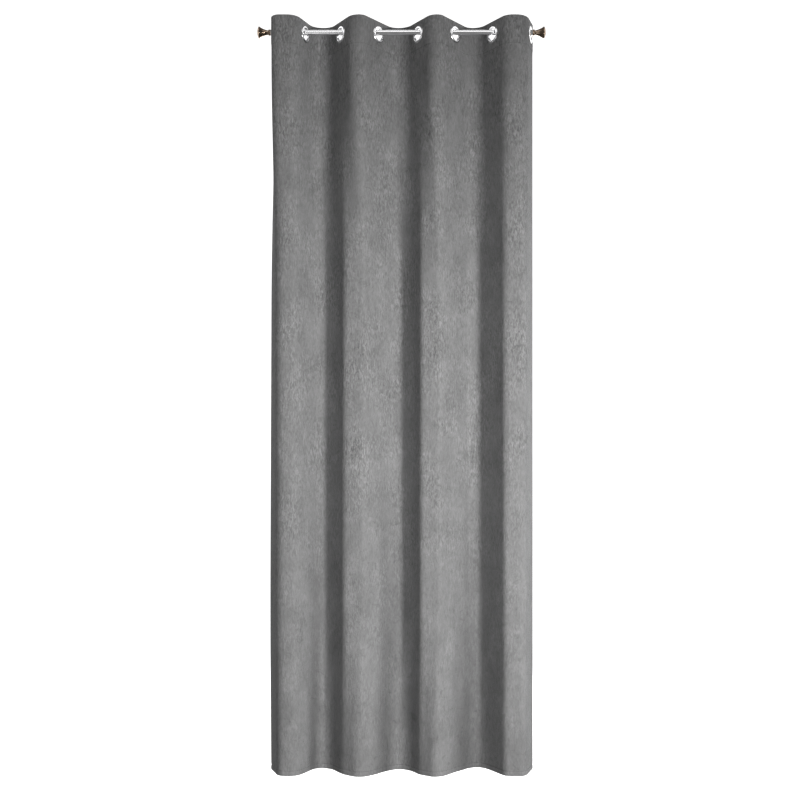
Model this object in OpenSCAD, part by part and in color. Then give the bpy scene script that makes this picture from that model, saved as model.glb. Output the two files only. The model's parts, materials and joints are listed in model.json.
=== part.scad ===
// Eyelet-top curtain panel hanging in folds on a slim metal rod with trumpet finials.
// +X runs along the rod, -Y is the room side, +Z is up.
// The origin is on the rod's axis, midway between its ends.

/* [Cloth] */
// Height of the panel, from the top edge to the hem
panel_height = 2500; // [1200:10:2700]
// Thickness of one layer of the cloth
cloth_t = 1.2; // [0.8:0.1:1.6]
// Depth of the turned-over heading at the top
heading_h = 95; // [85:1:130]
// Cloth between an end eyelet's centre and the side edge
side_margin = 55; // [50:1:90]
// How far a fold stands in front of the rod's axis
front_depth = 62; // [58:1:66]
// How far a fold stands behind the rod's axis
back_depth = 58; // [56:1:64]

/* [Eyelet spacing along the rod] */
// Eyelet 1 to eyelet 2
gap_1 = 104.3; // [102:0.1:108]
// Eyelet 2 to eyelet 3
gap_2 = 119; // [116:0.1:124]
// Eyelet 3 to eyelet 4
gap_3 = 125.3; // [120:0.1:130]
// Eyelet 4 to eyelet 5
gap_4 = 132.7; // [126:0.1:136]
// Eyelet 5 to eyelet 6
gap_5 = 122.8; // [120:0.1:128]
// Eyelet 6 to eyelet 7
gap_6 = 125.2; // [121:0.1:130]
// Eyelet 7 to eyelet 8
gap_7 = 125.9; // [121:0.1:130]
// How far the middle of the panel stands to the right of the middle of the rod
panel_shift = 2; // [0:0.5:3]
// How far crest 1 stands to the left of the middle between eyelets 1 and 2
crest_1_shift = 4.5; // [4:0.1:5]

/* [Angle between the cloth and the rod at each eyelet] */
// At eyelet 1
slope_1 = 97; // [94:1:98]
// At eyelet 2
slope_2 = 67; // [62:1:68]
// At eyelet 3
slope_3 = 58; // [54:1:62]
// At eyelet 4
slope_4 = 52; // [51:1:58]
// At eyelet 5
slope_5 = 57; // [53:1:60]
// At eyelet 6
slope_6 = 52; // [51:1:60]
// At eyelet 7
slope_7 = 57; // [53:1:60]
// At eyelet 8
slope_8 = 72; // [66:1:74]

/* [Eyelets] */
// Radius of the hole that the rod passes through
eyelet_bore_r = 18; // [17.5:0.5:20]
// Width of the ring's face
ring_w = 10; // [7:0.5:10]
// Height of the front ring's crown above the cloth
ring_crown = 2.8; // [2:0.1:3.5]
// Height of the back ring's crown above the cloth
back_crown = 2.2; // [1.5:0.1:3]
// Distance from an eyelet's centre up to the top edge of the cloth
eyelet_to_top = 43; // [38:1:50]

/* [Rod] */
// Length of the tube
rod_length = 874; // [872:1:900]
// Outer radius of the tube
rod_r = 9.5; // [8:0.1:9.5]
// Wall thickness of the tube
rod_wall = 1; // [0.8:0.1:2]
// Gap between the top of the rod and an eyelet's wall
hang_gap = 1.4; // [1.4:0.1:2]

/* [Finials] */
// Length of a finial outside the tube
finial_l = 45; // [42:1:60]
// Radius of the trumpet's rim
finial_rim_r = 20; // [18:0.5:26]
// Radius of the neck
finial_neck_r = 7.5; // [6:0.1:8]
// Angle at which the neck starts to flare
finial_flare = 10; // [0:1:15]
// Length of the plug inside the tube
plug_l = 26; // [15:1:40]

/* [Hidden] */
$fn = 96;
eps = 0.01;

gaps = [gap_1, gap_2, gap_3, gap_4, gap_5, gap_6, gap_7];
slopes = [slope_1, slope_2, slope_3, slope_4, slope_5, slope_6, slope_7, slope_8];
fold_count = len(gaps);
eyelet_count = len(slopes);

tape_t = 0.8;                       // stiffening tape inside the heading
tape_play = 0.1;                    // air on each side of the tape
tape_inset = 4;                     // the tape ends this far inside the heading
heading_t = 2 * (cloth_t + tape_play) + tape_t;
pocket_t = tape_t + 2 * tape_play;
fold_gap = 1.2;                     // each section stops this far from a crest
ring_r = eyelet_bore_r + ring_w;
collar_t = 1.2;                     // wall of the front ring's collar
collar_play = 0.2;                  // air round the collar
collar_proud = 1;                   // how far the collar passes the back of the heading
edge_joint = ring_r + 1;            // cloth from eyelet 1 to where the left edge joins the first fold
min_flat = ring_r + 3.5;            // flat cloth beside every eyelet
edge_bend_r = 22;                   // the bend that turns a side edge straight back
arc_chord = 5;                      // longest straight stretch that stands for a piece of a bend

eyelet_z = rod_r + hang_gap - eyelet_bore_r;
top_z = eyelet_z + eyelet_to_top;
seam_z = top_z - heading_h;
hem_z = top_z - panel_height;

bronze = [0.30, 0.22, 0.15];
silver = [0.84, 0.84, 0.86];
cloth_grey = [0.42, 0.42, 0.42];

// ---- the folds in plan ----

function sum_to(list, n) = n <= 0 ? 0 : list[n - 1] + sum_to(list, n - 1);
function eyelet_x(k) = sum_to(gaps, k - 1) - sum_to(gaps, fold_count) / 2 + panel_shift;
function slope(k) = slopes[k - 1];

// Folds 1, 3, 5 and 7 stand in front of the rod, folds 2, 4 and 6 behind it, as do both side edges
function fold_sign(f) = f % 2 == 1 ? -1 : 1;
function fold_depth(f) = f % 2 == 1 ? front_depth : back_depth;

// Distance along the rod from eyelet k to the crest on that side, 1 for the right and -1 for the left
function half_gap(k, side) =
    let (f = side > 0 ? k : k - 1) gaps[f - 1] / 2 - (f == 1 ? side * crest_1_shift : 0);

// Half a fold, from an eyelet to the crest: a flat length, an arc, and a flat top that runs along the rod.
// The top has no length where the arc can reach the crest by itself.
// [flat length, radius of the arc, length of the arc, length of the top]
function half_fold(k, side) =
    let (a = slope(k),
         depth = fold_depth(side > 0 ? k : k - 1),
         flat = max(min_flat, depth / tan(a / 2) - half_gap(k, side)),
         r = (depth - flat * sin(a)) / (1 - cos(a)))
    [flat, r, r * a * PI / 180, max(half_gap(k, side) - flat * cos(a) - r * sin(a), 0)];

// [along the rod, away from the rod, angle to the rod] at a length s from the eyelet
function fold_at(h, a, s) =
    let (flat = min(s, h[0]),
         left = a - min(max(s - h[0], 0), h[2]) / h[1] * 180 / PI,
         top = max(s - h[0] - h[2], 0))
    [flat * cos(a) + h[1] * (sin(a) - sin(left)) + top,
     flat * sin(a) + h[1] * (cos(left) - cos(a)), left];

// The same for a side edge, which bends until it runs straight back
function edge_at(a, s) =
    let (way = a < 90 ? 1 : -1,
         bend_l = edge_bend_r * abs(90 - a) * PI / 180,
         turn = way * min(max(s - min_flat, 0), bend_l) / edge_bend_r * 180 / PI,
         back = max(s - min_flat - bend_l, 0),
         flat = min(s, min_flat))
    [flat * cos(a) + way * edge_bend_r * (sin(a + turn) - sin(a)),
     flat * sin(a) + way * edge_bend_r * (cos(a) - cos(a + turn)) + back, a + turn];

// A row of the cloth's centre line: x, y and the unit normal that points to the back of the cloth.
// side is 1 to the right of eyelet k and -1 to its left, and sign is 1 behind the rod.
function row(k, side, sign, p) =
    [eyelet_x(k) + side * p[0], sign * p[1], -side * sign * sin(p[2]), cos(p[2])];

// Lengths at which the rows stand: the ends of each flat, and even steps round the bend between them
function lengths(bend_from, bend_to, from, to) =
    let (start = min(max(from, bend_from), to),
         end = max(min(to, bend_to), start),
         steps = max(1, ceil((end - start) / arc_chord)))
    concat(
        from < start - eps ? [from] : [],
        end - start > eps ? [for (i = [0 : steps]) start + (end - start) * i / steps] : [start],
        to > end + eps ? [to] : []);

function fold_rows(k, side, from, to) =
    let (h = half_fold(k, side))
    [for (s = lengths(h[0], h[0] + h[2], from, to))
        row(k, side, fold_sign(side > 0 ? k : k - 1), fold_at(h, slope(k), s))];

function edge_rows(k, side) =
    [for (s = lengths(min_flat, side_margin, 0, side_margin)) row(k, side, 1, edge_at(slope(k), s))];

function half_to_crest(k, side) =
    let (h = half_fold(k, side)) h[0] + h[2] + h[3] - fold_gap;

function backwards(list) = [for (i = [len(list) - 1 : -1 : 0]) list[i]];
function tail(list) = [for (i = [1 : len(list) - 1]) list[i]];

// Section 0 is the left side edge with eyelet 1, section 1 runs from there to crest 1,
// and sections 2 to 8 each run from crest to crest through one eyelet, the last one to the right side edge.
function section_rows(n) =
    n == 0 ? concat(backwards(tail(edge_rows(1, -1))), fold_rows(1, 1, 0, edge_joint - fold_gap / 2))
    : n == 1 ? fold_rows(1, 1, edge_joint + fold_gap / 2, half_to_crest(1, 1))
    : concat(
        backwards(tail(fold_rows(n, -1, 0, half_to_crest(n, -1)))),
        n < eyelet_count ? fold_rows(n, 1, 0, half_to_crest(n, 1)) : edge_rows(n, 1));

module ribbon(rows, thickness) {
    half = thickness / 2;
    polygon(concat(
        [for (r = rows) [r[0] + half * r[2], r[1] + half * r[3]]],
        [for (r = backwards(rows)) [r[0] - half * r[2], r[1] - half * r[3]]]));
}

module wall(n, thickness, low, high) {
    translate([0, 0, low]) linear_extrude(high - low) ribbon(section_rows(n), thickness);
}

// Puts its children at eyelet k: local X along the cloth, local -Y out of the front of the cloth
module at_eyelet(k) {
    translate([eyelet_x(k), 0, eyelet_z]) rotate([0, 0, fold_sign(k) * slope(k)]) children();
}

// The eyelet that a section carries, or 0
function eyelet_of(n) = n == 0 ? 1 : n == 1 ? 0 : n;

module eyelet_cut(n) {
    if (eyelet_of(n) > 0)
        at_eyelet(eyelet_of(n)) rotate([90, 0, 0])
            cylinder(r = eyelet_bore_r + collar_t + collar_play, h = 4 * heading_t, center = true);
}

// ---- cloth ----

// The cloth turned over at the top: two layers joined along the top edge, with the tape between them
module heading(n) {
    color(cloth_grey) difference() {
        wall(n, heading_t, seam_z, top_z);
        wall(n, pocket_t, seam_z - 1, top_z - cloth_t);
        eyelet_cut(n);
    }
}

module tape(n) {
    color("ivory") difference() {
        wall(n, tape_t, seam_z + tape_inset, top_z - tape_inset);
        eyelet_cut(n);
    }
}

module drop(n) {
    color(cloth_grey) wall(n, cloth_t, hem_z, seam_z);
}

// ---- eyelets ----

// A crowned ring: the part of a round section that stands above the cloth
module crown(inner_r, crown_h) {
    half_w = (ring_r - inner_r) / 2;
    section_r = (half_w * half_w + crown_h * crown_h) / (2 * crown_h);
    intersection() {
        translate([inner_r + half_w, crown_h - section_r]) circle(r = section_r);
        translate([inner_r, 0]) square([2 * half_w, crown_h]);
    }
}

// The front ring, with the collar that passes through the cloth
module eyelet_front(k) {
    color(silver) at_eyelet(k) rotate([90, 0, 0]) translate([0, 0, heading_t / 2]) rotate_extrude() {
        crown(eyelet_bore_r, ring_crown);
        translate([eyelet_bore_r, -heading_t - collar_proud])
            square([collar_t, heading_t + collar_proud + eps]);
    }
}

// The back ring, which snaps over the collar
module eyelet_back(k) {
    color(silver) at_eyelet(k) rotate([-90, 0, 0]) translate([0, 0, heading_t / 2]) rotate_extrude()
        crown(eyelet_bore_r + collar_t + collar_play, back_crown);
}

// ---- rod and finials ----

module along_rod() {
    rotate([0, 90, 0]) children();
}

module rod_tube() {
    color(silver) along_rod() difference() {
        cylinder(r = rod_r, h = rod_length, center = true);
        cylinder(r = rod_r - rod_wall, h = rod_length + 2, center = true);
    }
}

// A finial stands on the tube's end: a collar, a bead, a neck that flares like a trumpet, and a domed end
module finial_profile() {
    collar_r = rod_r + 0.6;
    collar_l = 4;
    bead_r = 1.5;
    neck_z = collar_l + 2 * bead_r + 2;
    rim_t = 1.4;
    dome_h = 6.4;
    rim_z = finial_l - dome_h - rim_t;
    flare_h = rim_z - neck_z;
    flare_w = finial_rim_r - finial_neck_r;
    flare_chord = sqrt(flare_h * flare_h + flare_w * flare_w);
    flare_r = flare_chord / 2 / sin(atan(flare_w / flare_h) - finial_flare);
    dome_r = (finial_rim_r * finial_rim_r + dome_h * dome_h) / (2 * dome_h);
    square([collar_r, collar_l]);
    square([finial_neck_r, rim_z]);
    translate([collar_r - bead_r, collar_l + bead_r]) circle(r = bead_r);
    translate([0, collar_l]) square([collar_r - bead_r, 2 * bead_r]);
    difference() {
        translate([0, neck_z]) square([finial_rim_r, flare_h]);
        translate([finial_neck_r + flare_r * cos(finial_flare), neck_z - flare_r * sin(finial_flare)])
            circle(r = flare_r);
    }
    translate([0, rim_z]) square([finial_rim_r, rim_t]);
    intersection() {
        translate([0, finial_l - dome_r]) circle(r = dome_r);
        translate([0, rim_z + rim_t]) square([finial_rim_r, dome_h]);
    }
}

// side is 1 at the right end of the rod and -1 at the left end
module finial(side) {
    color(bronze) rotate([0, side * 90, 0]) translate([0, 0, rod_length / 2])
        rotate_extrude() finial_profile();
}

// The plug that holds the finial in the tube, with a chamfered nose
module finial_plug(side) {
    plug_r = rod_r - rod_wall - 0.05;
    nose = 1.5;
    color("dimgray") rotate([0, side * 90, 0]) translate([0, 0, rod_length / 2 - plug_l]) union() {
        translate([0, 0, nose]) cylinder(r = plug_r, h = plug_l - nose);
        cylinder(r1 = plug_r - nose, r2 = plug_r, h = nose);
    }
}

rod_tube();
finial(-1);  // finial_left
finial(1);  // finial_right
finial_plug(-1);  // finial_plug_left
finial_plug(1);  // finial_plug_right
for (k = [1 : eyelet_count]) {
    eyelet_front(k);
    eyelet_back(k);
}
for (n = [0 : eyelet_count]) {
    heading(n);
    tape(n);
    drop(n);
}
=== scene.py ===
import json
import math

import bmesh
import bpy
import numpy as np
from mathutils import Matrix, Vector


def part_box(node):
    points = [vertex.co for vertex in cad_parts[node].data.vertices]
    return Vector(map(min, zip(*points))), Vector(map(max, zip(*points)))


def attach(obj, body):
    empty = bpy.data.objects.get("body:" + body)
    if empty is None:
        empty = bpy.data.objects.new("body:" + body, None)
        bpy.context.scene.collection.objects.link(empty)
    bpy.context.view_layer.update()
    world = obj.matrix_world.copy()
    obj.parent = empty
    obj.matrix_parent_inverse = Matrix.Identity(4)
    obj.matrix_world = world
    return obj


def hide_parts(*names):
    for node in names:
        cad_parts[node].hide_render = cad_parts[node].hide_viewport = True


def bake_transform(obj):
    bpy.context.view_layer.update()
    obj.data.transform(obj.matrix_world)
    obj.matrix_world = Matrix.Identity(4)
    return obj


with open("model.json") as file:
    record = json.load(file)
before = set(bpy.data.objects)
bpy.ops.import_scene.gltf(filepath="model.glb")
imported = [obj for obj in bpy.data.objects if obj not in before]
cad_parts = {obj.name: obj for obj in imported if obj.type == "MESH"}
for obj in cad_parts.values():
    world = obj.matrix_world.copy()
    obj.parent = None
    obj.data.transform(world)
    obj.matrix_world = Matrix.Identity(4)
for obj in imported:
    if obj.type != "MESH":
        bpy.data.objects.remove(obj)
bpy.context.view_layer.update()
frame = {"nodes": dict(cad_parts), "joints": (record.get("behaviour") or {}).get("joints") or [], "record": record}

# ---------------------------------------------------------------- driving dimensions, in metres

SLOPES = [97, 67, 58, 52, 57, 52, 57, 72]     # angle between cloth and rod at each eyelet, in degrees
MIN_FLAT = 0.0315                             # flat cloth beside every eyelet
SIDE_MARGIN = 0.055                           # cloth beyond the end eyelets
EDGE_BEND_R = 0.022                           # the bend that turns a side edge straight back

JOINTS = {j["name"]: j for j in frame["joints"]}
HOLES = frame["record"]["physics"]["openings"]
EYELET_X = [(hole["box_m"][0][0] + hole["box_m"][1][0]) / 2 for hole in HOLES]
EYELET_COUNT = len(EYELET_X)
# Spacing of the cloth's mesh: columns, rows in the heading, and rows below it
COLUMN_STEP, HEADING_STEP, ROW_STEP = 0.0062, 0.005, 0.0125
# The coarse sheet that settles: its spacing, how long it settles in what air, and how far it may move
SETTLE_COLUMN_STEP, SETTLE_HEADING_STEP, SETTLE_ROW_STEP = 0.012, 0.024, 0.040
SETTLE_FRAMES, SETTLE_CAP, AIR_STRENGTH = 30, 0.010, 6.0

TOP_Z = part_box("heading_2")[1].z
SEAM_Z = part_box("heading_2")[0].z
HEM_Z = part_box("drop_2")[0].z
PANEL_H = TOP_Z - HEM_Z
HEADING_H = TOP_Z - SEAM_Z
RING_LOW, RING_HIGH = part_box("eyelet_front_2")
EYELET_Z = (RING_LOW.z + RING_HIGH.z) / 2
EYELET_V = TOP_Z - EYELET_Z
RING_R = (RING_HIGH.z - RING_LOW.z) / 2
RING_FACE = 0.010                             # width of a ring's visible face
BORE_R = RING_R - RING_FACE
ROD_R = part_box("rod_tube")[1].z
ROD_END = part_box("rod_tube")[1].x

CLOTH_T = 0.0012
HEADING_T = 0.0034
HEM_T = 0.0028                                # two layers at the hem and the side hems
HEADING_STITCH = HEADING_H - 0.004            # the rows of stitching, as distances from the top
HEM_STITCH = PANEL_H - 0.015
SIDE_STITCH = 0.012                           # and from the side edge
HOLE_R = 0.0205                               # the hole in the cloth round an eyelet's collar


# ---------------------------------------------------------------- the cloth's path in plan

def crest(f):
    """Where the crest of fold f stands, in front of the rod for odd folds and behind it for even ones."""
    return JOINTS[f"crest_{f}"]["pos_m"]


def fold_sign(f):
    """-1 for a fold that comes forward, and 1 for one that goes back."""
    return -1 if f % 2 == 1 else 1


def half_fold(k, side):
    """Slope, flat length, bend radius and flat top of the heading's half fold beside eyelet k."""
    a = math.radians(SLOPES[k - 1])
    x, y, _ = crest(k if side > 0 else k - 1)
    half_gap, depth = abs(x - EYELET_X[k - 1]), abs(y)
    flat = max(MIN_FLAT, depth / math.tan(a / 2) - half_gap)
    radius = (depth - flat * math.sin(a)) / (1 - math.cos(a))
    return a, flat, radius, max(half_gap - flat * math.cos(a) - radius * math.sin(a), 0)


# Half-way down the cloth hangs in shallower, squarer folds.  For eyelets 1 to 8: where the cloth crosses
# the rod's line and how steeply.  For crests 1 to 7: where they stand, how far from that line, and their
# bend radius.
LOW_X = [-0.4290, -0.311, -0.225, -0.073, 0.036, 0.176, 0.303, EYELET_X[-1]]
LOW_SLOPES = [64, 56, 54, 46, 57, 48, 59, 72]
LOW_CRESTS = [-0.3775, -0.261, -0.150, -0.003, 0.114, 0.2445, 0.3685]
LOW_DEPTHS = [0.050, 0.040, 0.050, 0.046, 0.050, 0.061, 0.063]
LOW_RADII = [0.040, 0.018, 0.028, 0.018, 0.020, 0.024, 0.026]


def low_half_fold(k, side):
    """The same as half_fold, for the shape that the cloth takes half-way down."""
    a = math.radians(LOW_SLOPES[k - 1])
    f = k if side > 0 else k - 1
    half_gap, radius = abs(LOW_CRESTS[f - 1] - LOW_X[k - 1]), LOW_RADII[f - 1]
    flat = (LOW_DEPTHS[f - 1] - radius * (1 - math.cos(a))) / math.sin(a)
    return a, flat, radius, max(half_gap - flat * math.cos(a) - radius * math.sin(a), 0)


def half_points(k, side, s, fold, x_at):
    """Plan positions at the lengths s from eyelet k, towards the crest on that side."""
    a, flat, radius, _ = fold(k, side)
    bend_l = radius * a
    on_flat = np.minimum(s, flat)
    left = a - np.clip(s - flat, 0, bend_l) / radius
    on_top = np.maximum(s - flat - bend_l, 0)
    out = on_flat * math.cos(a) + radius * (math.sin(a) - np.sin(left)) + on_top
    deep = on_flat * math.sin(a) + radius * (np.cos(left) - math.cos(a))
    return x_at[k - 1] + side * out, fold_sign(k if side > 0 else k - 1) * deep


def edge_points(k, side, s, slopes, x_at):
    """The same as half_points, for a side edge, which bends until it runs straight back."""
    a = math.radians(slopes[k - 1])
    way = 1 if a < math.pi / 2 else -1
    on_flat = np.minimum(s, MIN_FLAT)
    bend_l = EDGE_BEND_R * abs(math.pi / 2 - a)
    turn = way * np.clip(s - MIN_FLAT, 0, bend_l) / EDGE_BEND_R
    back = np.maximum(s - MIN_FLAT - bend_l, 0)
    out = on_flat * math.cos(a) + way * EDGE_BEND_R * (np.sin(a + turn) - math.sin(a))
    deep = on_flat * math.sin(a) + way * EDGE_BEND_R * (math.cos(a) - np.cos(a + turn)) + back
    return x_at[k - 1] + side * out, deep


PATH_STEP = 0.0005        # spacing of a path's samples
EVEN_COUNT = 3001         # samples of a softened path
SOFT_WIDTH = 0.006        # width of cloth over which the lower path is evened out


def cloth_path(fold, slopes, x_at):
    """A whole path as dense samples (length, x, y), and the lengths at which it passes the eyelets."""
    lengths, xs, ys, at, start = [], [], [], [], 0.0

    def add(x, y, length, inward):
        nonlocal start
        lengths.append(np.linspace(start, start + length, len(x)))
        xs.append(x[::-1] if inward else x)
        ys.append(y[::-1] if inward else y)
        start += length
        if inward:
            at.append(start)

    edge = np.linspace(0, SIDE_MARGIN, int(SIDE_MARGIN / PATH_STEP))
    add(*edge_points(1, -1, edge, slopes, x_at), SIDE_MARGIN, True)
    for f in range(1, EYELET_COUNT):
        for k, side in ((f, 1), (f + 1, -1)):
            a, flat, radius, top = fold(k, side)
            length = flat + radius * a + top
            s = np.linspace(0, length, int(length / PATH_STEP))
            add(*half_points(k, side, s, fold, x_at), length, side < 0)
    add(*edge_points(EYELET_COUNT, 1, edge, slopes, x_at), SIDE_MARGIN, False)
    return np.concatenate(lengths), np.concatenate(xs), np.concatenate(ys), at


def soften(values, lengths, width):
    """Evens out a path's coordinate over a width of cloth, keeping its ends."""
    step = (lengths[-1] - lengths[0]) / (EVEN_COUNT - 1)
    even = np.interp(np.arange(EVEN_COUNT) * step, lengths, values)
    n = int(width / step)
    padded = np.concatenate([2 * even[0] - even[n:0:-1], even, 2 * even[-1] - even[-2:-n - 2:-1]])
    window = np.hanning(2 * n + 1)
    return np.convolve(padded, window / window.sum(), "valid")


PATH_S, PATH_X, PATH_Y, EYELET_U = cloth_path(half_fold, SLOPES, EYELET_X)
CLOTH_W = PATH_S[-1]
LOW_S, LOW_PATH_X, LOW_PATH_Y, _ = cloth_path(low_half_fold, LOW_SLOPES, LOW_X)
EVEN_S = np.linspace(0, CLOTH_W, EVEN_COUNT)
LOW_PATH_X, LOW_PATH_Y = (soften(path, LOW_S, SOFT_WIDTH) for path in (LOW_PATH_X, LOW_PATH_Y))
# The left edge piece ends this far past its eyelet, between the gather joint and the first crest
FIRST_CUT = EYELET_U[0] + 0.062
CUTS = [0.0, FIRST_CUT] + EYELET_U[1:] + [CLOTH_W]


# ---------------------------------------------------------------- the sheet's grid

def spaced(marks, step):
    """Positions that hold every mark and are about a step apart between them."""
    out = [marks[0]]
    for a, b in zip(marks, marks[1:]):
        n = max(1, round((b - a) / step))
        out += [a + (b - a) * i / n for i in range(1, n + 1)]
    return np.array(out)


def grid_lines():
    """The columns along the cloth's width and the rows down its height, closer at seams and hems."""
    inner = [0.0, 0.003, SIDE_STITCH - 0.002, SIDE_STITCH, SIDE_STITCH + 0.002]
    outer = [CLOTH_W - s for s in inner[::-1]]
    columns = spaced(sorted(set(inner + [FIRST_CUT] + outer + EYELET_U)), COLUMN_STEP)
    beside = [-0.003, -0.0015, 0, 0.0015, 0.004]
    seam = [HEADING_STITCH + s for s in beside] + [HEADING_H + 0.002, HEADING_H + 0.008]
    hem = [HEM_STITCH + s for s in beside]
    rows = np.concatenate([
        spaced([0, 0.003, EYELET_V, seam[0]], HEADING_STEP), seam[1:-1],
        spaced([seam[-1], hem[0] - 0.006], ROW_STEP), hem,
        spaced([hem[-1], PANEL_H - 0.002, PANEL_H], 0.004)[1:]])
    return columns, rows


HOLE_REACH = 0.0012       # grid points this far outside a hole still move onto its edge


def punch_holes(u, v):
    """Moves grid points near each eyelet onto its hole, and returns the cells inside the holes."""
    inside = np.zeros((u.shape[0] - 1, u.shape[1] - 1), bool)
    for centre in EYELET_U:
        du, dv = u - centre, v - EYELET_V
        r = np.hypot(du, dv)
        near = r < HOLE_R + HOLE_REACH
        cells = near[:-1, :-1] & near[1:, :-1] & near[:-1, 1:] & near[1:, 1:]
        inside |= cells
        corner = np.zeros_like(near)
        corner[:-1, :-1] |= cells
        corner[1:, :-1] |= cells
        corner[:-1, 1:] |= cells
        corner[1:, 1:] |= cells
        full = np.zeros_like(near)
        full[1:-1, 1:-1] = cells[:-1, :-1] & cells[1:, :-1] & cells[:-1, 1:] & cells[1:, 1:]
        edge = corner & ~full
        scale = np.where(edge & (r > 1e-6), HOLE_R / np.maximum(r, 1e-6), 1.0)
        u[...] = centre + du * scale
        v[...] = EYELET_V + dv * scale
    return inside


NOISE_CELLS = 64


def smooth_noise(u, v, size_u, size_v, seed):
    """Soft random swells between -1 and 1, size_u wide and size_v tall."""
    table = np.random.default_rng(seed).uniform(-1, 1, (NOISE_CELLS, NOISE_CELLS))
    a, b = u / size_u, v / size_v
    i, j = np.floor(a).astype(int), np.floor(b).astype(int)
    fa, fb = a - i, b - j
    fa, fb = fa * fa * (3 - 2 * fa), fb * fb * (3 - 2 * fb)
    i0, i1, j0, j1 = (cell % NOISE_CELLS for cell in (i, i + 1, j, j + 1))
    low = table[i0, j0] * (1 - fa) + table[i1, j0] * fa
    high = table[i0, j1] * (1 - fa) + table[i1, j1] * fa
    return low * (1 - fb) + high * fb


def swell(x, centre, half):
    """1 at the centre, falling smoothly to 0 at half a width on either side."""
    return 0.5 + 0.5 * np.cos(math.pi * np.clip((x - centre) / half, -1, 1))


def ease(x, start, end):
    """0 before the start and 1 after the end, rising smoothly between them."""
    t = np.clip((x - start) / (end - start), 0, 1)
    return t * t * (3 - 2 * t)


# The shape half-way down is reached between these distances below the top, and the inner folds go part of
# the way back to the heading's shape below the last of them
LOOSE_START, LOOSE_END, DEEPER_START = 0.12, 0.95, 1.85
DEEPER_SHARE = 0.65
# The backs of the folds drift to the right on the way down: at their fronts, and how much more behind
DRIFT_START, DRIFT_FRONT, DRIFT_BACK = 1.6, 0.002, 0.010
FOLD_DEPTH = 0.120        # from the fronts of the folds to their backs
# A shallow groove runs down the right flank of folds 1, 3 and 5, and ends in a dent above the stiff hem:
# eyelet, and distance from it along the cloth
GROOVES = [(2, 0.015), (4, 0.004), (6, -0.012)]
GROOVE_START, GROOVE_FULL, GROOVE_END = 1.2, 2.3, PANEL_H - 0.075
GROOVE_DEPTH, GROOVE_HALF = 0.012, 0.036
DENT_DEPTH, DENT_HALF_W, DENT_HALF_H = 0.005, 0.009, 0.035
# Two soft creases are left from packing, at these distances below the top
CREASES = (0.66, 2.20)
CREASE_DEPTH, CREASE_HALF = 0.0016, 0.022
# The middle folds hang lower at the hem: by how much, over what half width, and from how far down
LOW_HEM, LOW_HEM_HALF, LOW_HEM_START = 0.006, 0.52, 1.2


def fold_path(u, v):
    """The folds of the heading, loosening on the way down and deepening again towards the hem."""
    inner_folds = ease(u, 0.06, 0.20) * (1 - 0.8 * ease(u, EYELET_U[5], EYELET_U[6]))
    deeper = DEEPER_SHARE * inner_folds * ease(v, DEEPER_START, PANEL_H)
    low = ease(v, LOOSE_START, LOOSE_END) * (1 - deeper)
    x = np.interp(u, PATH_S, PATH_X) * (1 - low) + np.interp(u, EVEN_S, LOW_PATH_X) * low
    y = np.interp(u, PATH_S, PATH_Y) * (1 - low) + np.interp(u, EVEN_S, LOW_PATH_Y) * low
    return x, y


def grooves(u, v):
    """How far back the grooves and the dents at their ends lie."""
    down = ease(v, GROOVE_START, GROOVE_FULL) * (1 - 0.8 * ease(v, GROOVE_END, PANEL_H))
    depth = 0.0
    for k, away in GROOVES:
        at = EYELET_U[k - 1] + away
        dent = swell(u, at + GROOVE_HALF / 2, DENT_HALF_W) * swell(v, GROOVE_END, DENT_HALF_H)
        depth = depth + GROOVE_DEPTH * swell(u, at, GROOVE_HALF) * down + DENT_DEPTH * dent
    return depth


def creases(u, v):
    """How far forward the creases stand, each along a slightly uneven line."""
    uneven = v + 0.006 * smooth_noise(u, v, 0.11, 0.4, 23)
    return sum(CREASE_DEPTH * swell(uneven, crease, CREASE_HALF) for crease in CREASES)


def ripples(u, v):
    """Broad swells, narrower ripples and crushed patches, which push the cloth back and forth."""
    crushed = smooth_noise(u, v, 0.030, 0.045, 13) * ease(smooth_noise(u, v, 0.19, 0.26, 17), -0.2, 0.7)
    return (0.0025 * smooth_noise(u, v, 0.30, 0.9, 3) + 0.0014 * smooth_noise(u, v, 0.085, 0.42, 7)
            + 0.0006 * crushed)


def hung_shape(u, v):
    """Where the cloth hangs before it settles, for distances u from its left edge and v below its top."""
    x, y = fold_path(u, v)
    free = ease(v, HEADING_H, 0.45)
    inner = ease(u, 0.05, 0.30) * ease(CLOTH_W - u, 0.05, 0.30)
    behind = np.clip((y + FOLD_DEPTH / 2) / FOLD_DEPTH, 0, 1)
    x = x + inner * ease(v, DRIFT_START, PANEL_H) * (DRIFT_FRONT + DRIFT_BACK * behind)
    x = x + free * inner * 0.003 * smooth_noise(u, v, 0.40, 1.1, 5)
    y = y + grooves(u, v) - creases(u, v) + free * ripples(u, v)
    middle = (EYELET_U[2] + EYELET_U[5]) / 2
    lower = LOW_HEM * swell(u, middle, LOW_HEM_HALF) * ease(v, LOW_HEM_START, PANEL_H)
    return np.stack([x, y, TOP_Z - v - lower], axis=-1)


def sheet_normals(p):
    """Unit normals of a grid of points, pointing to the back of the cloth."""
    n = np.cross(np.gradient(p, axis=1), np.gradient(p, axis=0))
    return n / np.maximum(np.linalg.norm(n, axis=-1, keepdims=True), 1e-12)


# ---------------------------------------------------------------- mesh building

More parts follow.
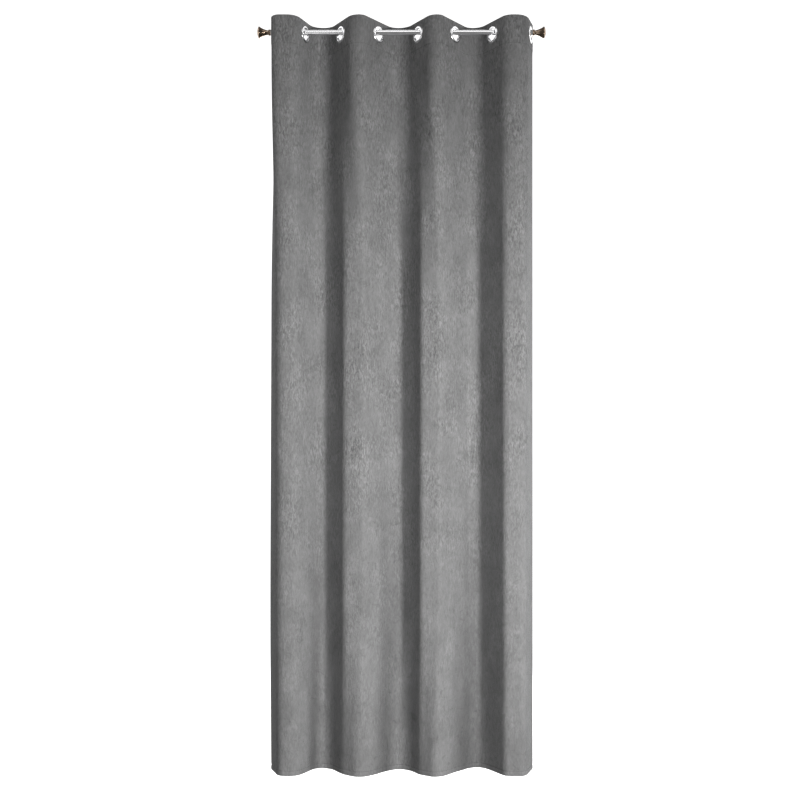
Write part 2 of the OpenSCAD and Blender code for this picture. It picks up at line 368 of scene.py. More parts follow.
def new_object(name, verts, faces, materials=(), smooth=True):
    mesh = bpy.data.meshes.new(name)
    mesh.from_pydata([tuple(p) for p in verts], [], [tuple(f) for f in faces])
    mesh.validate()
    for m in materials:
        mesh.materials.append(m)
    if smooth:
        mesh.polygons.foreach_set("use_smooth", [True] * len(mesh.polygons))
    obj = bpy.data.objects.new(name, mesh)
    bpy.context.scene.collection.objects.link(obj)
    return obj


def line_before(lines, at):
    """The number of the last grid line before each position."""
    return np.clip(np.searchsorted(lines, at) - 1, 0, len(lines) - 2)


def between_corners(grid, i, j, fu, fv):
    """Values inside the cells (i, j) of a grid, at the shares fu and fv of the way across them."""
    top = grid[j, i] * (1 - fu) + grid[j, i + 1] * fu
    low = grid[j + 1, i] * (1 - fu) + grid[j + 1, i + 1] * fu
    return top * (1 - fv) + low * fv


class Sheet:
    """A sheet of cloth on a grid, with its front and back faces and the cells that the eyelets cut out."""

    def __init__(self, columns, rows, sag, offsets):
        self.columns = columns
        self.u, self.v = np.meshgrid(columns, rows)
        self.gone = punch_holes(self.u, self.v)
        self.mid = hung_shape(self.u, self.v) + sag(self.u, self.v)
        self.normal = sheet_normals(self.mid)
        self.front_t, self.back_t = offsets(self.u, self.v)
        self.front = self.mid - self.normal * self.front_t[..., None]
        self.back = self.mid + self.normal * self.back_t[..., None]
        self.front_normal = -sheet_normals(self.front)
        self.back_normal = sheet_normals(self.back)

    def column(self, s):
        return int(np.argmin(abs(self.columns - s)))

    def place(self, grid, u, v):
        """Values of a grid of the sheet at any points (u, v) clear of the eyelets."""
        rows = self.v[:, 0]
        i, j = line_before(self.columns, u), line_before(rows, v)
        fu = ((u - self.columns[i]) / (self.columns[i + 1] - self.columns[i]))[:, None]
        fv = ((v - rows[j]) / (rows[j + 1] - rows[j]))[:, None]
        return between_corners(grid, i, j, fu, fv)


def open_edges(quads):
    """The directed edges of a set of quads that only one of them has."""
    edges = {}
    for q in quads.tolist():
        for e in zip(q, q[1:] + q[:1]):
            if edges.pop(e[::-1], None) is None:
                edges[e] = True
    return list(edges)


def cell_corners(index):
    """The four corners of every cell of a grid of vertex numbers."""
    return np.stack([index[:-1, :-1], index[1:, :-1], index[1:, 1:], index[:-1, 1:]], -1)


RIM_BULGE = 0.42      # how far a real edge's rim bulges, as a share of the cloth's thickness there
RIM_LEAN = 0.7        # how far the normals beside it lean towards the faces


def cloth_solid(name, sheet, left, right, materials):
    """A closed piece of the sheet between two columns: two faces, and a rim rounded at real edges."""
    pick = np.s_[:, left:right + 1]
    last = sheet.u.shape[1] - 1
    along = np.gradient(sheet.mid, axis=1)
    along /= np.linalg.norm(along, axis=-1, keepdims=True)
    outward = np.zeros_like(sheet.mid)
    outward[0, :, 2] += 1
    outward[-1, :, 2] -= 1
    outward[:, 0] -= along[:, 0]
    outward[:, last] += along[:, last]
    bulge = RIM_BULGE * (sheet.front_t + sheet.back_t)[..., None]
    middle = (sheet.front + sheet.back) / 2 + outward * bulge

    front, back, middle = (g[pick].reshape(-1, 3) for g in (sheet.front, sheet.back, middle))
    front_n, back_n = sheet.front_normal[pick].reshape(-1, 3), sheet.back_normal[pick].reshape(-1, 3)
    soft = np.linalg.norm(outward[pick].reshape(-1, 3), axis=1) > 0
    rows, width = sheet.u[pick].shape
    count = rows * width
    index = np.arange(count).reshape(rows, width)
    keep = ~sheet.gone[:, left:right]
    quads = cell_corners(index)[keep]
    turned = quads[:, ::-1]

    rim, rim_normals = [], []
    for a, b in open_edges(quads):
        side = np.cross(back_n[a] + back_n[b], front[b] - front[a])
        side /= max(np.linalg.norm(side), 1e-12)
        lean = RIM_LEAN if soft[a] and soft[b] else 0.0
        near = [n * lean + side * (1 - lean) for n in (front_n[b], front_n[a])]
        far = [n * lean + side * (1 - lean) for n in (back_n[a], back_n[b])]
        rim.append((b, a, a + 2 * count, b + 2 * count))
        rim.append((b + 2 * count, a + 2 * count, a + count, b + count))
        rim_normals += [near + [side, side], [side, side] + far]

    faces = np.concatenate([quads, turned + count, np.array(rim)])
    normals = np.concatenate([front_n[quads].reshape(-1, 3), back_n[turned].reshape(-1, 3),
                              np.array(rim_normals).reshape(-1, 3)])
    used, compact = np.unique(faces, return_inverse=True)
    compact = compact.reshape(faces.shape)
    obj = new_object(name, np.concatenate([front, back, middle])[used], compact.tolist(), materials)
    mesh = obj.data
    if len(materials) > 1:
        slots = np.zeros(len(faces), np.int32)
        slots[len(quads):2 * len(quads)] = 1
        mesh.polygons.foreach_set("material_index", slots)
    uv = np.tile(np.stack([sheet.u[pick].reshape(-1), -sheet.v[pick].reshape(-1)], axis=1), (3, 1))[used]
    layer = mesh.uv_layers.new(name="cloth")
    layer.data.foreach_set("uv", uv[compact.reshape(-1)].reshape(-1).astype(np.float32))
    normals /= np.maximum(np.linalg.norm(normals, axis=1, keepdims=True), 1e-9)
    mesh.normals_split_custom_set(normals.tolist())
    return obj


def hang_as_cloth(obj, index, rows):
    """Pins the heading, holds the rest lightly, and gives the settings of a heavy, rather stiff cloth."""
    held = obj.vertex_groups.new(name="held")
    light_grip = 0.30 - 0.22 * ease(rows, HEADING_H, 1.2)
    grip = np.where(rows <= HEADING_H + 1e-6, 1.0, light_grip)
    for row, weight in zip(index, grip):
        held.add(row.tolist(), float(weight), "REPLACE")
    cloth = obj.modifiers.new("cloth", "CLOTH")
    cloth.settings.quality = 6
    cloth.settings.mass = 0.25
    cloth.settings.tension_stiffness = 25
    cloth.settings.compression_stiffness = 25
    cloth.settings.shear_stiffness = 8
    cloth.settings.bending_stiffness = 3
    cloth.settings.vertex_group_mass = "held"
    cloth.collision_settings.use_self_collision = False
    cloth.point_cache.frame_end = SETTLE_FRAMES


def rested_points(obj):
    """Where an object's cloth comes to rest in slightly moving air."""
    bpy.ops.object.effector_add(type="TURBULENCE", location=(0.2, -0.5, -1.4))
    air = bpy.context.object
    air.field.strength, air.field.size, air.field.seed = AIR_STRENGTH, 0.55, 4
    for f in range(1, SETTLE_FRAMES + 1):
        bpy.context.scene.frame_set(f)
    rested = obj.evaluated_get(bpy.context.evaluated_depsgraph_get())
    points = np.array([p.co for p in rested.data.vertices])
    bpy.data.objects.remove(air)
    bpy.data.objects.remove(obj)
    bpy.context.scene.frame_set(1)
    return points


def settle():
    """Lets a coarse copy of the sheet hang as cloth, and returns a function that gives how far it moved."""
    columns = spaced(sorted(set([0.0, CLOTH_W] + EYELET_U)), SETTLE_COLUMN_STEP)
    rows = np.concatenate([spaced([0, HEADING_H], SETTLE_HEADING_STEP),
                           spaced([HEADING_H, PANEL_H], SETTLE_ROW_STEP)[1:]])
    u, v = np.meshgrid(columns, rows)
    start = hung_shape(u, v)
    index = np.arange(u.size).reshape(u.shape)
    quads = cell_corners(index).reshape(-1, 4)
    obj = new_object("settling_sheet", start.reshape(-1, 3), quads.tolist())
    hang_as_cloth(obj, index, rows)

    moved = rested_points(obj).reshape(start.shape) - start
    moved[..., 2] = 0
    length = np.linalg.norm(moved, axis=-1, keepdims=True)
    moved *= np.minimum(length, SETTLE_CAP) / np.maximum(length, 1e-9)
    moved *= ease(v, HEADING_H, 0.35)[..., None]
    print("settled: median %.1f mm, most %.1f mm" % (np.median(length) * 1000, length.max() * 1000))

    def sag(at_u, at_v):
        i, j = line_before(columns, at_u), line_before(rows, at_v)
        fu = ease(at_u, columns[i], columns[i + 1])[..., None]
        fv = ease(at_v, rows[j], rows[j + 1])[..., None]
        return between_corners(moved, i, j, fu, fv)

    return sag


def no_sag(u, v):
    """Leaves the cloth where it hung before it settled."""
    return np.zeros((*u.shape, 3))


def lathe(name, profile, place, axis_turn, material, segments=96):
    """Turns a closed or open profile of (radius, height) points round the local Z axis."""
    turns = [2 * math.pi * i / segments for i in range(segments)]
    verts, faces = [], []
    closed = profile[0] == profile[-1]
    ring = profile[:-1] if closed else profile
    m = len(ring)
    for t in turns:
        verts += [(r * math.cos(t), r * math.sin(t), h) for r, h in ring]
    spans = m if closed else m - 1
    for i in range(segments):
        j = (i + 1) % segments
        for s in range(spans):
            s2 = (s + 1) % m
            faces.append((i * m + s, j * m + s, j * m + s2, i * m + s2))
    obj = new_object(name, verts, faces, [material])
    mesh = obj.data
    bm = bmesh.new()
    bm.from_mesh(mesh)
    bmesh.ops.remove_doubles(bm, verts=bm.verts, dist=1e-6)
    bmesh.ops.recalc_face_normals(bm, faces=bm.faces)
    bm.to_mesh(mesh)
    bm.free()
    mesh.polygons.foreach_set("use_smooth", [True] * len(mesh.polygons))
    turn = axis_turn.to_matrix().to_4x4()
    turn.translation = Vector(place)
    mesh.transform(turn)
    return obj


# ---------------------------------------------------------------- materials

def material(name, colour, roughness, metallic=0.0):
    """A new material with its node tree and its shader."""
    m = bpy.data.materials.new(name)
    m.use_nodes = True
    shader = m.node_tree.nodes["Principled BSDF"]
    shader.inputs["Base Color"].default_value = (*colour, 1)
    shader.inputs["Roughness"].default_value = roughness
    shader.inputs["Metallic"].default_value = metallic
    return m, m.node_tree, shader


def node(tree, kind, **values):
    """A new node, with values for its sockets or its own settings."""
    n = tree.nodes.new(kind)
    for key, value in values.items():
        if key in n.inputs:
            n.inputs[key].default_value = value
        else:
            setattr(n, key, value)
    return n


def ramp(tree, source, stops):
    """A colour ramp with (position, grey or colour) stops."""
    r = tree.nodes.new("ShaderNodeValToRGB")
    tree.links.new(source, r.inputs["Fac"])
    while len(r.color_ramp.elements) < len(stops):
        r.color_ramp.elements.new(0.5)
    for element, (position, value) in zip(r.color_ramp.elements, stops):
        element.position = position
        element.color = (*value, 1) if hasattr(value, "__len__") else (value, value, value, 1)
    return r.outputs["Color"]


def stretched_uv(tree, stretch):
    """The cloth's own coordinates in metres, scaled along each axis."""
    uv = node(tree, "ShaderNodeUVMap", uv_map="cloth")
    scale = tree.nodes.new("ShaderNodeMapping")
    scale.inputs["Scale"].default_value = stretch
    tree.links.new(uv.outputs["UV"], scale.inputs["Vector"])
    return scale.outputs["Vector"]


def noise(tree, vector, scale, detail=2.0, rough=0.5, distortion=0.0):
    n = node(tree, "ShaderNodeTexNoise", Scale=scale, Detail=detail, Roughness=rough, Distortion=distortion)
    tree.links.new(vector, n.inputs["Vector"])
    return n.outputs["Fac"]


def mix(tree, kind, a, b, factor):
    """Two linked colours mixed by a number or a linked factor."""
    m = tree.nodes.new("ShaderNodeMix")
    m.data_type = "RGBA"
    m.blend_type = kind
    if isinstance(factor, float):
        m.inputs["Factor"].default_value = factor
    else:
        tree.links.new(factor, m.inputs["Factor"])
    tree.links.new(a, m.inputs[6])
    tree.links.new(b, m.inputs[7])
    return m.outputs[2]


def combine(tree, operation, *values):
    """The result of a maths node on linked values or plain numbers."""
    maths = node(tree, "ShaderNodeMath", operation=operation)
    for socket, value in zip(maths.inputs, values):
        if isinstance(value, float):
            socket.default_value = value
        else:
            tree.links.new(value, socket)
    return maths.outputs[0]


def map_range(tree, value, start, end, low, high, interpolation="LINEAR"):
    """A value that goes from low to high while another goes from start to end."""
    reach = node(tree, "ShaderNodeMapRange", interpolation_type=interpolation)
    for key, number in {"From Min": start, "From Max": end, "To Min": low, "To Max": high}.items():
        reach.inputs[key].default_value = number
    tree.links.new(value, reach.inputs["Value"])
    return reach.outputs[0]


def along_cloth(tree, axis):
    """The distance from the cloth's left edge (X), or minus the distance from its top (Y)."""
    parts = tree.nodes.new("ShaderNodeSeparateXYZ")
    tree.links.new(stretched_uv(tree, (1.0, 1.0, 1.0)), parts.inputs[0])
    return parts.outputs[axis]


def down_the_cloth(tree, start, end, low, high):
    """A value that goes from low to high between two distances from the top."""
    return map_range(tree, along_cloth(tree, "Y"), -start, -end, low, high)


# Low on folds 1, 3 and 5 a soft streak of painted shade darkens the pile's colour: eyelet, distance from it along
# the cloth, and half width.  The streaks grow between these distances below the top.
SHADE_STREAKS = [(2, 0.027, 0.050), (4, 0.016, 0.074), (6, 0.032, 0.088)]
SHADE_STREAK_START, SHADE_STREAK_END = 1.45, 2.45


def painted_shade_streaks(tree):
    """Where the painted shade lies: 1 in the middle of each streak near the hem, falling softly to 0 at its sides
    and half-way up.
    """
    total = 0.0
    for k, away, half in SHADE_STREAKS:
        offset = combine(tree, "SUBTRACT", along_cloth(tree, "X"), EYELET_U[k - 1] + away)
        distance = combine(tree, "ABSOLUTE", offset)
        soft = map_range(tree, distance, 0.0, half, 1.0, 0.0, "SMOOTHSTEP")
        total = combine(tree, "ADD", total, soft)
    down = down_the_cloth(tree, SHADE_STREAK_START, SHADE_STREAK_END, 0.0, 1.0)
    return combine(tree, "MULTIPLY", total, down)


def velvet():
    """Crushed pile: short wavy strands that catch the light, soft patches, a few rubbed marks, and soft streaks of
    painted shade low on three folds.
    """
    m, tree, shader = material("curtain_velvet", (0.2, 0.2, 0.2), 0.85)
    strands = noise(tree, stretched_uv(tree, (1.0, 0.30, 1.0)), 210.0, 3.0, 0.6, 0.9)
    pebbles = noise(tree, stretched_uv(tree, (1.0, 0.45, 1.0)), 85.0, 3.0, 0.6, 0.9)
    patches = noise(tree, stretched_uv(tree, (1.0, 0.65, 1.0)), 13.0, 3.0, 0.55, 0.3)
    rubbed = noise(tree, stretched_uv(tree, (1.0, 1.5, 1.0)), 24.0, 4.0, 0.65, 1.2)
    crushed = noise(tree, stretched_uv(tree, (1.0, 0.8, 1.0)), 9.0, 2.0)
    base = ramp(tree, patches, [(0.28, (0.172, 0.172, 0.172)), (0.72, (0.226, 0.226, 0.226))])
    crackle = ramp(tree, strands, [(0.36, 0.50), (0.50, 1.0), (0.66, 1.60)])
    lumps = ramp(tree, pebbles, [(0.34, 0.80), (0.50, 1.0), (0.68, 1.18)])
    marks = ramp(tree, rubbed, [(0.30, 0.60), (0.40, 1.0)])
    crushing = ramp(tree, crushed, [(0.36, 0.22), (0.62, 0.72)])
    rough = combine(tree, "MULTIPLY", crushing, down_the_cloth(tree, 1.3, 2.3, 1.0, 0.45))
    pile = mix(tree, "MULTIPLY", mix(tree, "MULTIPLY", base, crackle, rough), lumps, 0.5)
    pile = mix(tree, "MULTIPLY", pile, marks, 0.55)
    # Painted shade: the streaks darken the pile's colour to about half in their middles
    pile = mix(tree, "MULTIPLY", pile, ramp(tree, painted_shade_streaks(tree), [(0, 1.0), (1, 0.52)]), 1.0)
    tree.links.new(pile, shader.inputs["Base Color"])
    shader.inputs["Sheen Weight"].default_value = 0.30
    shader.inputs["Sheen Roughness"].default_value = 0.45
    shader.inputs["Sheen Tint"].default_value = (0.8, 0.8, 0.82, 1)
    shader.inputs["Specular IOR Level"].default_value = 0.2
    bump = node(tree, "ShaderNodeBump", Strength=0.8, Distance=0.0055)
    tree.links.new(mix(tree, "MIX", strands, pebbles, 0.55), bump.inputs["Height"])
    tree.links.new(bump.outputs["Normal"], shader.inputs["Normal"])
    return m


def velvet_reverse():
    """The plain woven back of the cloth, a little uneven along its threads."""
    m, tree, shader = material("curtain_reverse", (0.22, 0.22, 0.22), 0.9)
    warp = node(tree, "ShaderNodeTexWave", Scale=320.0, Distortion=0.6)
    weft = node(tree, "ShaderNodeTexWave", bands_direction="Y", Scale=320.0, Distortion=0.6)
    vector = stretched_uv(tree, (1.0, 1.0, 1.0))
    tree.links.new(vector, warp.inputs["Vector"])
    tree.links.new(vector, weft.inputs["Vector"])
    weave = mix(tree, "MULTIPLY", warp.outputs["Color"], weft.outputs["Color"], 1.0)
    slub = noise(tree, stretched_uv(tree, (1.0, 0.1, 1.0)), 60.0, 3.0)
    shade = ramp(tree, slub, [(0.3, (0.19, 0.19, 0.195)), (0.7, (0.25, 0.25, 0.255))])
    tree.links.new(shade, shader.inputs["Base Color"])
    bump = node(tree, "ShaderNodeBump", Strength=0.4, Distance=0.0004)
    tree.links.new(weave, bump.inputs["Height"])
    tree.links.new(bump.outputs["Normal"], shader.inputs["Normal"])
    shader.inputs["Specular IOR Level"].default_value = 0.25
    return m


def object_noise(tree, scale, stretch=(1, 1, 1), detail=3.0):
    where = tree.nodes.new("ShaderNodeTexCoord")
    scaled = tree.nodes.new("ShaderNodeMapping")
    scaled.inputs["Scale"].default_value = stretch
    tree.links.new(where.outputs["Object"], scaled.inputs["Vector"])
    return noise(tree, scaled.outputs["Vector"], scale, detail)


def bright_metal(name, low, high, roughness, stretch):
    """Polished metal with a very fine grain along its length or round it."""
    m, tree, shader = material(name, high, roughness, 1.0)
    grain = object_noise(tree, 500.0, stretch)
    tree.links.new(ramp(tree, grain, [(0.3, low), (0.7, high)]), shader.inputs["Base Color"])
    wear = ramp(tree, object_noise(tree, 60.0), [(0.3, roughness * 0.8), (0.7, roughness * 1.25)])
    tree.links.new(wear, shader.inputs["Roughness"])
    return m


def bronze():
    """Polished dark bronze, a little worn and duller in patches."""
    m, tree, shader = material("antique_bronze", (0.30, 0.22, 0.16), 0.18, 1.0)
    worn = object_noise(tree, 120.0)
    shade = ramp(tree, worn, [(0.35, (0.20, 0.145, 0.105)), (0.7, (0.40, 0.31, 0.23))])
    tree.links.new(shade, shader.inputs["Base Color"])
    tree.links.new(ramp(tree, worn, [(0.3, 0.14), (0.75, 0.24)]), shader.inputs["Roughness"])
    return m


def plain(name, colour, roughness):
    """A dull material with a faint speckle."""
    m, tree, shader = material(name, colour, roughness)
    spots = object_noise(tree, 200.0)
    low = tuple(c * 0.88 for c in colour)
    tree.links.new(ramp(tree, spots, [(0.3, low), (0.7, colour)]), shader.inputs["Base Color"])
    return m


# ---------------------------------------------------------------- the cloth

VELVET = velvet()
REVERSE = velvet_reverse()
# The thread is a real part, but its near-black colour is painted shade: it stands in for the shade in the grooves
# the stitching pulls into the pile, and it is much darker than the cloth's grey
SHADED_THREAD = plain("sewing_thread_painted_shade", (0.06, 0.06, 0.063), 0.7)
TAPE = plain("heading_tape", (0.62, 0.61, 0.58), 0.85)
SILVER = bright_metal("bright_silver", (0.90, 0.90, 0.91), (0.96, 0.96, 0.97), 0.16, (1, 1, 1))
ROD_METAL = bright_metal("bright_rod", (0.86, 0.86, 0.87), (0.95, 0.95, 0.96), 0.14, (0.02, 1, 1))
BRONZE = bronze()
PLUG = plain("plug_plastic", (0.03, 0.03, 0.03), 0.55)


def follow_cloth(obj, piece_index):
    """Parents the right edge piece to the last fold's body, and bakes the transform of every other piece into its
    mesh.
    """
    if piece_index == EYELET_COUNT:
        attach(obj, f"fold_{EYELET_COUNT}")
    else:
        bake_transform(obj)


def piece_name(prefix, i):
    """The name of the i-th piece from the left of something that is divided along the eyelets."""
    if i == 0:
        return f"{prefix}_left_edge"
    return f"{prefix}_right_edge" if i == EYELET_COUNT else f"{prefix}_fold_{i}"


DIP_DEPTH, DIP_HALF = 0.0011, 0.0040


def stitch_dip(at, line):
    """How far the thread pulls a face in, at distances from the top or a side."""
    return DIP_DEPTH * swell(at, line, DIP_HALF)


def cloth_offsets(u, v):
    """How far the faces stand from the middle: a thick heading and hems, and dips along the stitching."""
    side = np.minimum(u, CLOTH_W - u)
    heading = 1 - ease(v, HEADING_STITCH + 0.001, HEADING_H + 0.002)
    hem = ease(v, HEM_STITCH - 0.0035, HEM_STITCH - 0.001)
    side_hem = (1 - ease(side, SIDE_STITCH + 0.001, SIDE_STITCH + 0.003)) * (1 - heading)
    dips = stitch_dip(v, HEADING_STITCH) + stitch_dip(v, HEM_STITCH)
    dips += stitch_dip(side, SIDE_STITCH) * (1 - heading)
    puff = 0.0005 * swell(v, PANEL_H - 0.007, 0.008) + 0.0004 * swell(side, 0.006, 0.006) * (1 - heading)
    half = CLOTH_T / 2 + (HEADING_T - CLOTH_T) / 2 * heading
    double = np.maximum(hem, side_hem) * (1 - heading)
    return half + puff - dips, half + (HEM_T - CLOTH_T) * double - dips


# The thread: a stitch's length, its radius, and the length of stitch and gap together
STITCH_L, STITCH_R, STITCH_PITCH = 0.0035, 0.00055, 0.0044


def stitch_shape():
    """One stitch, a thread that dips into the cloth at both ends: along, across and out, in metres."""
    sides = 6
    points, faces = [], []
    half = [(0.5, 0.35, -0.9), (0.32, 0.9, -0.1)]
    stations = [(-at, size, rise) for at, size, rise in half] + [(0, 1.0, 0.25)] + half[::-1]
    for at, size, rise in stations:
        for i in range(sides):
            t = 2 * math.pi * i / sides
            across, out = size * math.cos(t), size * math.sin(t) + rise
            points.append((at * STITCH_L, STITCH_R * across, STITCH_R * out))
    for r in range(len(stations) - 1):
        for i in range(sides):
            j = (i + 1) % sides
            faces.append((r * sides + i, r * sides + j, (r + 1) * sides + j, (r + 1) * sides + i))
    faces.append(tuple(range(sides - 1, -1, -1)))
    faces.append(tuple((len(stations) - 1) * sides + i for i in range(sides)))
    return np.array(points), faces


def stitches(sheet, lines):
    """Vertices and faces of the stitches along lines from (u, v) to (u, v), on both faces of the cloth."""
    shape, shape_faces = stitch_shape()
    verts, faces, count = [], [], 0
    for (u0, v0), (u1, v1) in lines:
        length = math.hypot(u1 - u0, v1 - v0)
        n = max(1, int(length / STITCH_PITCH))
        t = (np.arange(n) + 0.5) / n
        u, v = u0 + (u1 - u0) * t, v0 + (v1 - v0) * t
        step = np.array([u1 - u0, v1 - v0]) / length * 0.001
        for face, normal in ((sheet.front, sheet.front_normal), (sheet.back, sheet.back_normal)):
            here, out = sheet.place(face, u, v), sheet.place(normal, u, v)
            ahead = sheet.place(face, u + step[0], v + step[1]) - here
            ahead /= np.linalg.norm(ahead, axis=1, keepdims=True)
            across = np.cross(out, ahead)
            across /= np.linalg.norm(across, axis=1, keepdims=True)
            for centre, x, y, z in zip(here, ahead, across, np.cross(ahead, across)):
                verts.append(centre + shape[:, :1] * x + shape[:, 1:2] * y + shape[:, 2:] * z)
                faces += [tuple(count + c for c in f) for f in shape_faces]
                count += len(shape)
    return np.concatenate(verts), faces


def build_cloth(sag):
    """The cloth in pieces along the eyelets, each with its stitching."""
    sheet = Sheet(*grid_lines(), sag, cloth_offsets)
    for i, (left, right) in enumerate(zip(CUTS, CUTS[1:])):
        edges = sheet.column(left), sheet.column(right)
        obj = cloth_solid(piece_name("cloth", i), sheet, *edges, [VELVET, REVERSE])
        follow_cloth(obj, i)
        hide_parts(f"heading_{i}", f"drop_{i}")
        lines = [((left, v), (right, v)) for v in (HEADING_STITCH, HEM_STITCH)]
        for edge in (SIDE_STITCH, CLOTH_W - SIDE_STITCH):
            if left < edge < right:
                lines.append(((edge, HEADING_H + 0.004), (edge, HEM_STITCH - 0.004)))
        thread = new_object(piece_name("stitching", i), *stitches(sheet, lines), [SHADED_THREAD])
        follow_cloth(thread, i)


def build_tape():
    """The stiff strip inside the heading, which is cut out round each eyelet."""
    inset, half = 0.004, 0.0004
    columns = spaced(sorted(set([inset, FIRST_CUT, CLOTH_W - inset] + EYELET_U)), COLUMN_STEP)
    rows = spaced([inset, EYELET_V, HEADING_STITCH - 0.003], HEADING_STEP)
    sheet = Sheet(columns, rows, no_sag, lambda u, v: (np.full(u.shape, half), np.full(u.shape, half)))
    marks = [inset] + CUTS[1:-1] + [CLOTH_W - inset]
    for i, (left, right) in enumerate(zip(marks, marks[1:])):
        edges = sheet.column(left), sheet.column(right)
        obj = cloth_solid(piece_name("tape", i), sheet, *edges, [TAPE])
        follow_cloth(obj, i)
        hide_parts(f"tape_{i}")


build_cloth(settle())
build_tape()


# ---------------------------------------------------------------- eyelets, rod and finials

def arc(centre, radius, start, stop, steps):
    """Points (radius, height) of an arc, with angles in degrees."""
    return [(centre[0] + radius * math.cos(math.radians(start + (stop - start) * i / steps)),
             centre[1] + radius * math.sin(math.radians(start + (stop - start) * i / steps)))
            for i in range(steps + 1)]


def crown(inner_r, height, base, steps=14):
    """The crowned face of a ring, from its outer edge to its inner edge."""
    half = (RING_R - inner_r) / 2
    radius = (half * half + height * height) / (2 * height)
    reach = math.degrees(math.asin(min(1, half / radius)))
    return arc((inner_r + half, base + height - radius), radius, 90 - reach, 90 + reach, steps)


# The front ring's collar: its wall, its gap to the back ring, and how far it reaches behind the cloth
COLLAR_T, COLLAR_GAP, COLLAR_REACH = 0.0012, 0.0002, 0.001
FRONT_CROWN, BACK_CROWN = 0.0028, 0.0022


def front_ring_profile():
    """The front ring's crown and its collar, which ends in a round lip just behind the cloth."""
    base = HEADING_T / 2
    lip = arc((BORE_R + COLLAR_T / 2, -base - COLLAR_REACH), COLLAR_T / 2, 180, 360, 6)
    profile = crown(BORE_R, FRONT_CROWN, base) + lip + [(BORE_R + COLLAR_T, base)]
    return profile + [profile[0]]


def back_ring_profile():
    """The back ring's crown, round the collar."""
    profile = crown(BORE_R + COLLAR_T + COLLAR_GAP, BACK_CROWN, HEADING_T / 2)
    return profile + [profile[0]]


def eyelet_turn(k, back):
    """The turn that points local Z out of the front, or the back, of the cloth at eyelet k."""
    angle = fold_sign(k) * math.radians(SLOPES[k - 1])
    normal = Vector((-math.sin(angle), math.cos(angle), 0)) * (1 if back else -1)
    return normal.to_track_quat("Z", "Y")


def build_eyelets():
    """The front and back rings of every eyelet."""
    for k in range(1, EYELET_COUNT + 1):
        body = "edge_left" if k == 1 else f"fold_{k}"
        place = (EYELET_X[k - 1], 0, EYELET_Z)
        for side, profile in (("front", front_ring_profile()), ("back", back_ring_profile())):
            turn = eyelet_turn(k, side == "back")
            obj = lathe(f"eyelet_ring_{side}_{k}", profile, place, turn, SILVER, 80)
            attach(obj, body)
            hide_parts(f"eyelet_{side}_{k}")


def build_rod():
    """An open tube with softened ends."""
    wall, lip = 0.001, 0.0003
    inner = ROD_R - wall
    end = [(inner, lip), (inner + lip, 0), (ROD_R - lip, 0), (ROD_R, lip)]
    profile = [(r, -ROD_END + inset) for r, inset in end]
    profile += [(ROD_R, ROD_END * t) for t in (-0.6, -0.2, 0.2, 0.6)]
    profile += [(r, ROD_END - inset) for r, inset in end[::-1]]
    profile += [profile[0]]
    turn = Vector((1, 0, 0)).to_track_quat("Z", "Y")
    obj = lathe("curtain_rod", profile, (0, 0, 0), turn, ROD_METAL)
    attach(obj, "rod")
    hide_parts("rod_tube")


def finial_profile(length):
    """A collar, a bead, a neck that flares like a trumpet, and a domed end."""
    collar_r, collar_l, bead_r, neck_r, rim_r = ROD_R + 0.0006, 0.004, 0.0015, 0.0075, 0.020
    flare_start = math.radians(10)
    neck_z = collar_l + 2 * bead_r + 0.002
    rim_t, dome_h = 0.0014, 0.0064
    rim_z = length - dome_h - rim_t
    flare_h, flare_w = rim_z - neck_z, rim_r - neck_r
    lean = math.atan2(flare_w, flare_h)
    flare_r = math.hypot(flare_h, flare_w) / 2 / math.sin(lean - flare_start)
    centre = (neck_r + flare_r * math.cos(flare_start), neck_z - flare_r * math.sin(flare_start))
    first, last = 180 - math.degrees(flare_start), 180 - math.degrees(2 * lean - flare_start)
    dome_r = (rim_r ** 2 + dome_h ** 2) / (2 * dome_h)
    dome_sweep = math.degrees(math.asin(rim_r / dome_r))
    edge = 0.0004
    profile = [(0, 0), (collar_r - edge, 0), (collar_r, edge), (collar_r, collar_l - edge)]
    profile.append((collar_r - 0.0005, collar_l))
    profile += arc((collar_r - bead_r, collar_l + bead_r), bead_r, -60, 90, 8)
    profile += [(neck_r + 0.0004, collar_l + 2 * bead_r + 0.0003), (neck_r, neck_z - 0.001)]
    profile += arc(centre, flare_r, first, last, 16)
    profile += arc((rim_r - rim_t / 2, rim_z + rim_t / 2), rim_t / 2, -60, 60, 5)
    profile += arc((0, length - dome_r), dome_r, 90 - dome_sweep * 0.955, 90, 14)
    return profile


def build_finials():
    """Both finials, and the material of the plugs that hold them."""
    for side, sign in (("left", -1), ("right", 1)):
        low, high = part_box(f"finial_{side}")
        turn = Vector((sign, 0, 0)).to_track_quat("Z", "Y")
        profile = finial_profile(high.x - low.x)
        obj = lathe(f"trumpet_{side}", profile, (sign * ROD_END, 0, 0), turn, BRONZE)
        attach(obj, f"finial_{side}")
        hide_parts(f"finial_{side}")
        plug = frame["nodes"][f"finial_plug_{side}"]
        plug.data.materials.clear()
        plug.data.materials.append(PLUG)


build_eyelets()
build_rod()
build_finials()


# ---------------------------------------------------------------- camera, light and stage

def aim(obj, target):
    """Turns a camera or a light to look at a target."""
    obj.rotation_euler = (Vector(target) - obj.location).to_track_quat("-Z", "Y").to_euler()


def build_camera():
    """Straight on, about a metre above the hem, with the view shifted up to take in the rod."""
    data = bpy.data.cameras.new("camera")
    data.sensor_width = 36
    data.lens = 52.6
    data.shift_y = 0.084
    data.clip_end = 50
    camera = bpy.data.objects.new("camera", data)
    bpy.context.scene.collection.objects.link(camera)
    camera.location = (-0.005, -3.9, -1.45)
    camera.rotation_euler = (math.pi / 2, 0, 0)
    bpy.context.scene.camera = camera


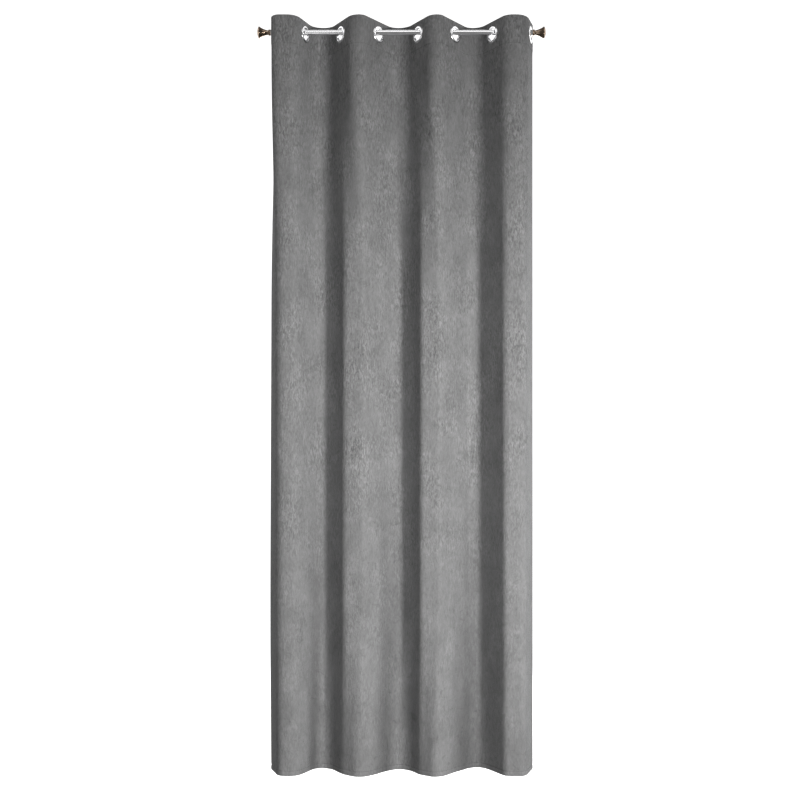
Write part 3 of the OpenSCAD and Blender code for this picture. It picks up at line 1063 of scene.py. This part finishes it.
def area_light(name, place, target, width, height, power):
    """A rectangular light pointed at a target."""
    data = bpy.data.lights.new(name, "AREA")
    data.shape = "RECTANGLE"
    data.size, data.size_y = width, height
    data.energy = power
    obj = bpy.data.objects.new(name, data)
    bpy.context.scene.collection.objects.link(obj)
    obj.location = place
    aim(obj, target)
    return obj


def spot_light(name, place, target, radius, cone, power):
    """A spot with a wide soft edge, so that its light fades away from where it points."""
    data = bpy.data.lights.new(name, "SPOT")
    data.shadow_soft_size = radius
    data.spot_size, data.spot_blend = math.radians(cone), 1.0
    data.energy = power
    obj = bpy.data.objects.new(name, data)
    bpy.context.scene.collection.objects.link(obj)
    obj.location = place
    aim(obj, target)
    return obj


def build_stage():
    """A round pale floor that curves up into a pale wall.  The metals show only the wall at the back."""
    floor_z, room_r, bend, height = HEM_Z - 0.30, 9.0, 1.5, 12.0
    wall = [(room_r - bend + bend * math.sin(a), floor_z + bend - bend * math.cos(a))
            for a in (math.pi / 2 * i / 12 for i in range(13))] + [(room_r, floor_z + height)]
    m, _, shader = material("pale_stage", (0.93, 0.93, 0.93), 0.9)
    shader.inputs["Emission Color"].default_value = (1, 1, 1, 1)
    shader.inputs["Emission Strength"].default_value = 1.0
    back = [math.pi * i / 32 for i in range(33)]
    front = [math.pi + a for a in back]
    floor = [(0.001, floor_z), (room_r - bend, floor_z)]
    parts = {"stage_back": (wall, back), "stage_front": (wall, front), "stage_floor": (floor, back + front)}
    for name, (section, turns) in parts.items():
        verts = [(r * math.cos(t), r * math.sin(t), z) for t in turns for r, z in section]
        n = len(section)
        faces = [(i * n + j, (i + 1) * n + j, (i + 1) * n + j + 1, i * n + j + 1)
                 for i in range(len(turns) - 1) for j in range(n - 1)]
        obj = new_object(name, verts, faces, [m])
        obj.visible_diffuse = False
        obj.visible_glossy = name == "stage_back"


def build_light():
    """A low key to the front right, a weak fill, one for the back, and cards that only the metals show."""
    world = bpy.data.worlds.new("world")
    bpy.context.scene.world = world
    world.use_nodes = True
    background = world.node_tree.nodes["Background"]
    background.inputs["Color"].default_value = (1, 1, 1, 1)
    background.inputs["Strength"].default_value = 0.20
    spot_light("key", (1.85, -2.85, -1.6), (0, 0, -1.6), 0.5, 72, 640)
    area_light("fill", (-0.9, -2.3, -1.7), (0, 0, -1.6), 1.2, 1.2, 7)
    area_light("back", (1.0, 3.6, -1.0), (0, 0, -1.2), 2.0, 2.4, 90)
    cards = [area_light("card_top", (0, -2.2, 1.9), (0, 0, 0), 3.2, 2.2, 30)]
    for side, x in (("left", -3.2), ("right", 3.2)):
        cards.append(area_light(f"card_{side}", (x, 0.2, 0.2), (0, 0, 0), 4.0, 3.0, 40))
    for card in cards:
        card.visible_diffuse = False
        card.visible_camera = False
    bpy.context.scene.view_settings.view_transform = "Standard"


build_camera()
build_light()
build_stage()
